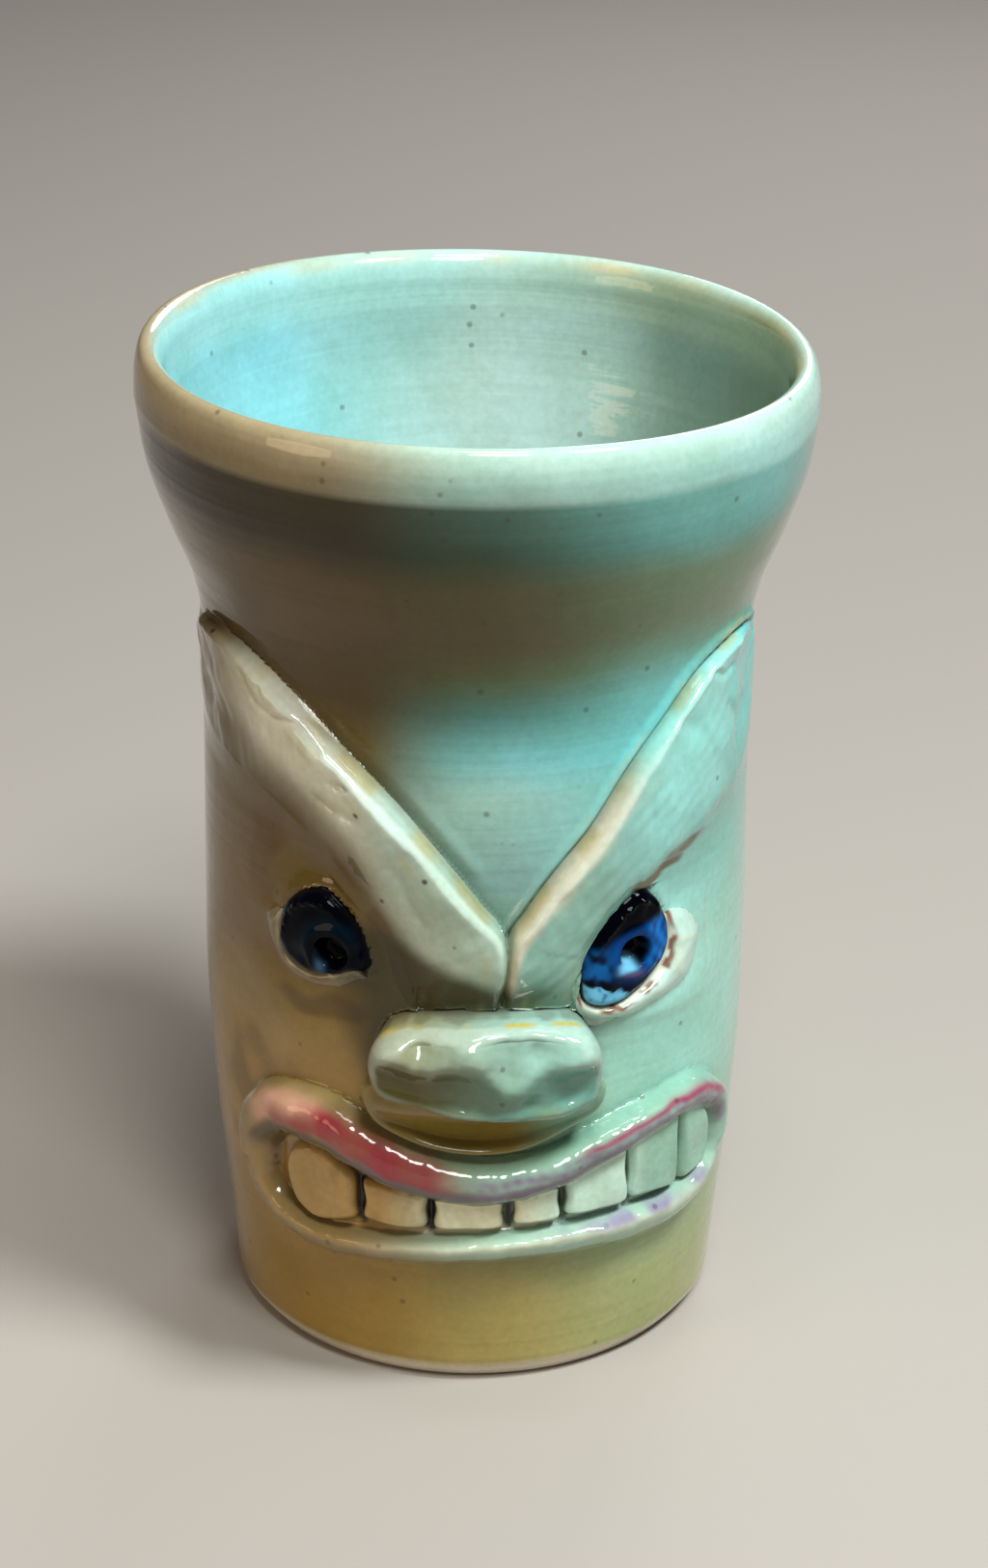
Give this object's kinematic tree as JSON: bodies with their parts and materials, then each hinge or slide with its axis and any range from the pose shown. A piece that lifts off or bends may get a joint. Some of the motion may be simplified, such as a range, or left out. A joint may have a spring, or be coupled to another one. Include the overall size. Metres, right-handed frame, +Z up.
{
  "type": "tiki mug",
  "caption": "Tall wheel-thrown stoneware mug with a flared rim and an applied scowling, grinning face: brows, eyes, lids, nose, lips and teeth in celadon glaze.",
  "frame": {"origin": "middle of the foot, on the plane the mug stands on, on the axis it was thrown about", "axes": "+Z up along the throwing axis, the face looks along -Y, +X is the viewer's right when facing it"},
  "size_m": [0.0974, 0.0974, 0.15],
  "materials": {
    "glaze_body": "glossy celadon glaze over pale stoneware, khaki towards the foot, bare at the foot's bevel",
    "glaze_brow": "glossy celadon glaze, thin and cream on the crests",
    "glaze_eye": "glossy cobalt glaze, nearly black, with light blue pools",
    "glaze_lid": "glossy celadon glaze with a rust brown edge",
    "glaze_nose": "glossy celadon glaze with small yellow stains",
    "glaze_lip": "glossy celadon glaze over pink and mauve underglaze",
    "glaze_tooth": "glossy celadon glaze, warm cream, with brown in the gaps"
  },
  "bodies": {
    "root": {"thrown_cup": "glaze_body", "left_brow": "glaze_brow", "right_brow": "glaze_brow", "left_eye": "glaze_eye", "right_eye": "glaze_eye", "left_lower_lid": "glaze_lid", "right_lower_lid": "glaze_lid", "nose_lump": "glaze_nose", "nose_pad": "glaze_nose", "upper_lip": "glaze_lip", "lower_lip": "glaze_lip", "tooth_1": "glaze_tooth", "tooth_2": "glaze_tooth", "tooth_3": "glaze_tooth", "tooth_4": "glaze_tooth", "tooth_5": "glaze_tooth", "tooth_6": "glaze_tooth", "tooth_7": "glaze_tooth"}
  },
  "joints": []
}
